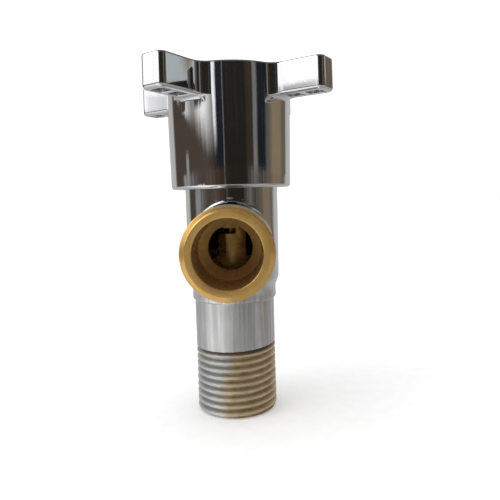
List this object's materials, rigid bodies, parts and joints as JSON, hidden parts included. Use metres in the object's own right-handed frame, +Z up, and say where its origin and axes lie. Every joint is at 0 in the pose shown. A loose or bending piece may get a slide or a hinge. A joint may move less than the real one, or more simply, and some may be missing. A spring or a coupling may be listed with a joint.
{
  "type": "angle stop valve",
  "caption": "Quarter-turn angle stop valve with male threaded inlet and side outlet, ceramic-disc cartridge and a four-arm skirted handle.",
  "frame": {"origin": "centre of the inlet's end face", "axes": "+Z up the valve's axis to the handle; the outlet points along -Y"},
  "size_m": [0.0522, 0.0551, 0.0902],
  "materials": {
    "plated_brass": "chrome plated brass, satin neck, bare machined brass at the outlet face, bores and thread",
    "plated_zinc": "mirror chrome plate on a zinc casting",
    "plated_cap": "mirror chrome plate",
    "bare_brass": "machined brass",
    "black_rubber": "moulded rubber",
    "white_nylon": "moulded nylon",
    "pale_ceramic": "lapped white alumina",
    "grey_ceramic": "lapped dark alumina",
    "steel": "stainless steel"
  },
  "bodies": {
    "body": {"valve_body": "plated_brass", "cartridge_housing": "bare_brass", "housing_gasket": "black_rubber", "seat_seal": "black_rubber", "seal_support_ring": "white_nylon", "fixed_disc": "pale_ceramic"},
    "turning": {"moving_disc": "grey_ceramic", "spindle": "bare_brass", "lower_spindle_oring": "black_rubber", "upper_spindle_oring": "black_rubber", "thrust_washer": "white_nylon", "stop_washer": "steel", "retaining_clip": "steel", "handle_insert": "white_nylon", "handle": "plated_zinc", "lock_washer": "steel", "handle_screw": "steel", "handle_cap": "plated_cap"}
  },
  "joints": [
    {"name": "handle_turn", "type": "hinge", "parent": "body", "child": "turning", "pos_m": [0, 0, 0.0887], "axis": [0, 0, 1], "range_deg": [0, 90]}
  ]
}
